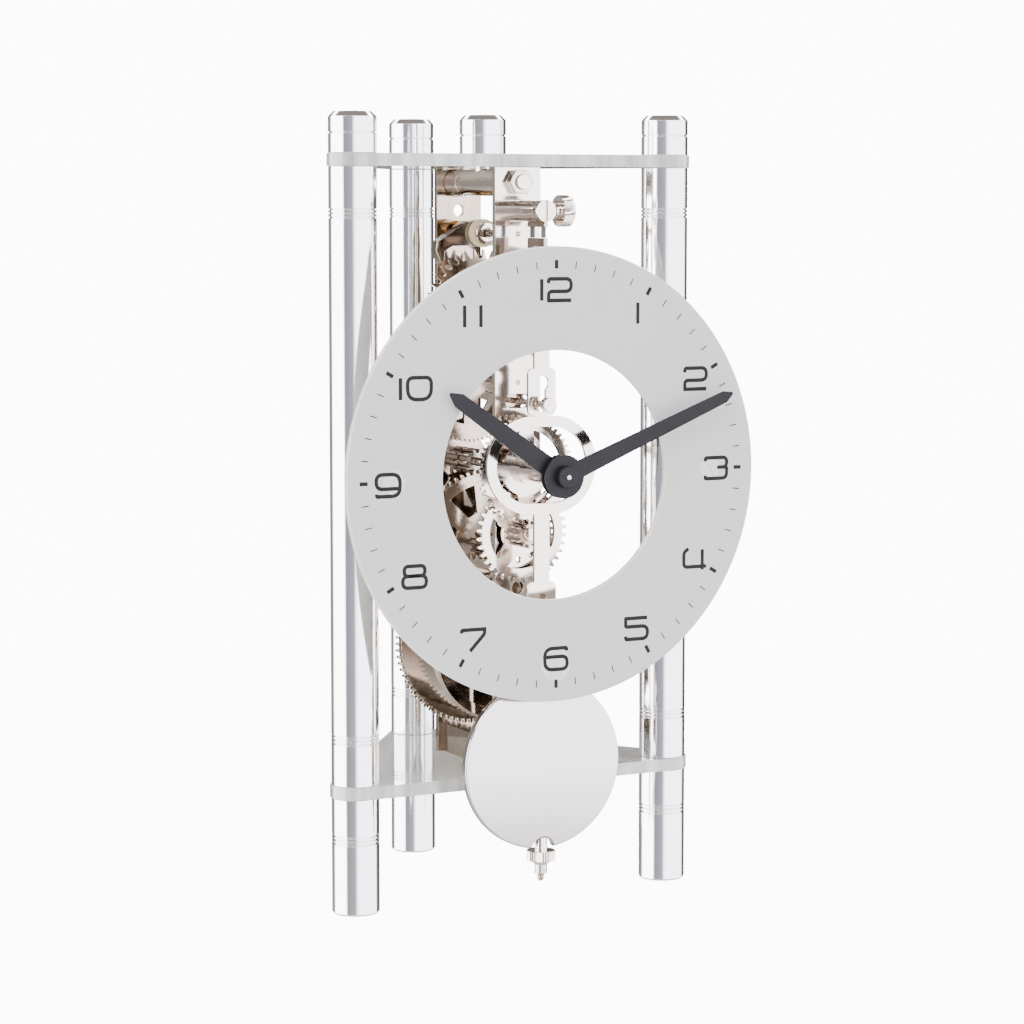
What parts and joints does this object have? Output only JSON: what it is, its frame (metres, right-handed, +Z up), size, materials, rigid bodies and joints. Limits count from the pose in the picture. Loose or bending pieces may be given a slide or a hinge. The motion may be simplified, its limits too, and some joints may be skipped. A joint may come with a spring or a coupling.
{
  "type": "skeleton clock",
  "caption": "Table skeleton clock: clear plates on turned pillars, open wheel train with pendulum and anchor escapement behind a ring dial with two hands.",
  "frame": {"origin": "centre of the clock's outer box, on the surface its feet stand on", "axes": "+Z up, dial and hands facing -Y, +X to the right of someone reading the dial"},
  "size_m": [0.1132, 0.098, 0.2],
  "materials": {
    "turned_aluminium": "fine turned lines, satin",
    "steel_fastener": "bright turned steel",
    "clear_acrylic": "clear, polished edges",
    "frosted_dial": "frosted satin silver grey, polished edges",
    "polished_nickel": "warm polished nickel plate",
    "cut_steel": "polished cut steel",
    "black_steel": "dark polished steel",
    "spring_steel": "tempered blue-grey",
    "brass": "turned, polished",
    "nylon": "cream, satin",
    "black_paint": "satin black"
  },
  "bodies": {
    "frame": {"bottom_plate": "clear_acrylic", "top_plate": "clear_acrylic", "left_pillar": "turned_aluminium", "right_pillar": "turned_aluminium", "rear_pillar": "turned_aluminium", "feet": "turned_aluminium", "cap_nuts": "turned_aluminium", "plate_studs": "steel_fastener", "dial": "frosted_dial", "dial_posts": "steel_fastener", "dial_pads": "clear_acrylic", "front_plate": "polished_nickel", "back_plate": "polished_nickel", "top_spacer": "polished_nickel", "base_block": "polished_nickel", "base_screws": "steel_fastener", "plate_nuts": "steel_fastener", "suspension_post": "polished_nickel", "upper_spring_block": "polished_nickel", "spring_leaves": "spring_steel", "minute_post": "polished_nickel", "click_screw": "steel_fastener", "click_spring": "spring_steel"},
    "clamp_screw": {"suspension_screw": "steel_fastener"},
    "pendulum": {"lower_spring_block": "polished_nickel", "pendulum_rod": "polished_nickel", "hanger_button": "polished_nickel", "rating_rod": "steel_fastener"},
    "pendulum_bob": {"bob": "polished_nickel"},
    "bob_nut": {"rating_nut": "polished_nickel"},
    "anchor_and_crutch": {"anchor_arbor": "cut_steel", "anchor": "black_steel", "anchor_ring": "nylon", "anchor_collet": "polished_nickel", "anchor_bush": "brass", "crutch": "cut_steel", "crutch_pin": "cut_steel"},
    "escape_set": {"escape_wheel": "polished_nickel", "escape_arbor": "cut_steel"},
    "third_set": {"third_wheel": "polished_nickel", "third_arbor": "cut_steel"},
    "center_set": {"center_arbor": "cut_steel", "center_wheel": "polished_nickel", "cannon_pinion": "polished_nickel", "minute_hand": "black_paint", "hand_nut": "black_paint"},
    "hour_set": {"hour_wheel": "polished_nickel", "hour_hand": "black_paint"},
    "minute_set": {"minute_wheel": "polished_nickel", "minute_pinion": "polished_nickel"},
    "second_set": {"second_wheel": "polished_nickel", "second_arbor": "cut_steel"},
    "barrel_set": {"great_wheel": "polished_nickel", "barrel_drum": "polished_nickel", "barrel_cover": "polished_nickel", "mainspring": "spring_steel"},
    "winding_set": {"barrel_arbor": "cut_steel", "ratchet_wheel": "polished_nickel"},
    "click_pawl": {"click": "polished_nickel"}
  },
  "joints": [
    {"name": "minute_hand_turn", "type": "hinge", "parent": "frame", "child": "center_set", "pos_m": [0, -0.018, 0.1104], "axis": [0, 1, 0], "continuous": true},
    {"name": "hour_hand_turn", "type": "hinge", "parent": "frame", "child": "hour_set", "pos_m": [0, -0.03, 0.1104], "axis": [0, 1, 0], "continuous": true},
    {"name": "minute_wheel_turn", "type": "hinge", "parent": "frame", "child": "minute_set", "pos_m": [0, -0.023, 0.0942], "axis": [0, 1, 0], "continuous": true},
    {"name": "second_wheel_turn", "type": "hinge", "parent": "frame", "child": "second_set", "pos_m": [0.0037, 0.004, 0.088], "axis": [0, 1, 0], "continuous": true},
    {"name": "barrel_turn", "type": "hinge", "parent": "frame", "child": "barrel_set", "pos_m": [-0.0012, -0.006, 0.0638], "axis": [0, 1, 0], "continuous": true},
    {"name": "third_wheel_turn", "type": "hinge", "parent": "frame", "child": "third_set", "pos_m": [0, 0.006, 0.1323], "axis": [0, 1, 0], "continuous": true},
    {"name": "escape_wheel_turn", "type": "hinge", "parent": "frame", "child": "escape_set", "pos_m": [0, 0.002, 0.1504], "axis": [0, 1, 0], "continuous": true},
    {"name": "pendulum_swing", "type": "hinge", "parent": "frame", "child": "pendulum", "pos_m": [0, -0.0339, 0.1702], "axis": [0, 1, 0], "range_deg": [-3, 3]},
    {"name": "crutch_swing", "type": "hinge", "parent": "frame", "child": "anchor_and_crutch", "pos_m": [0, -0.003, 0.1698], "axis": [0, 1, 0], "range_deg": [-3.1, 3.1]},
    {"name": "bob_height", "type": "slide", "parent": "pendulum", "child": "pendulum_bob", "axis": [0, 0, 1], "range_m": [-0.001, 0.001]},
    {"name": "rating_nut_turn", "type": "hinge", "parent": "pendulum_bob", "child": "bob_nut", "pos_m": [0, -0.0339, 0.0133], "axis": [0, 0, 1], "range_deg": [-721, 721]},
    {"name": "clamp_screw_turn", "type": "hinge", "parent": "frame", "child": "clamp_screw", "pos_m": [0.0056, -0.0349, 0.1756], "axis": [1, 0, 0], "range_deg": [0, 540]},
    {"name": "winding_turn", "type": "hinge", "parent": "frame", "child": "winding_set", "pos_m": [-0.0012, 0.016, 0.0638], "axis": [0, 1, 0], "continuous": true},
    {"name": "click_lift", "type": "hinge", "parent": "frame", "child": "click_pawl", "pos_m": [0.0034, 0.0156, 0.0786], "axis": [0, 1, 0], "range_deg": [0, 12], "stiffness_Nm_per_rad": 0.002, "springref_deg": -2.86}
  ],
  "couplings": [
    {"joint": "hour_hand_turn", "follows": "minute_hand_turn", "ratio": 0.083333},
    {"joint": "minute_wheel_turn", "follows": "minute_hand_turn", "ratio": -0.33333},
    {"joint": "second_wheel_turn", "follows": "minute_hand_turn", "ratio": -0.14706},
    {"joint": "barrel_turn", "follows": "minute_hand_turn", "ratio": 0.020739},
    {"joint": "third_wheel_turn", "follows": "minute_hand_turn", "ratio": -11.25},
    {"joint": "escape_wheel_turn", "follows": "minute_hand_turn", "ratio": 135},
    {"joint": "crutch_swing", "follows": "pendulum_swing", "ratio": 1},
    {"joint": "rating_nut_turn", "follows": "bob_height", "rad_per_m": 12566}
  ]
}
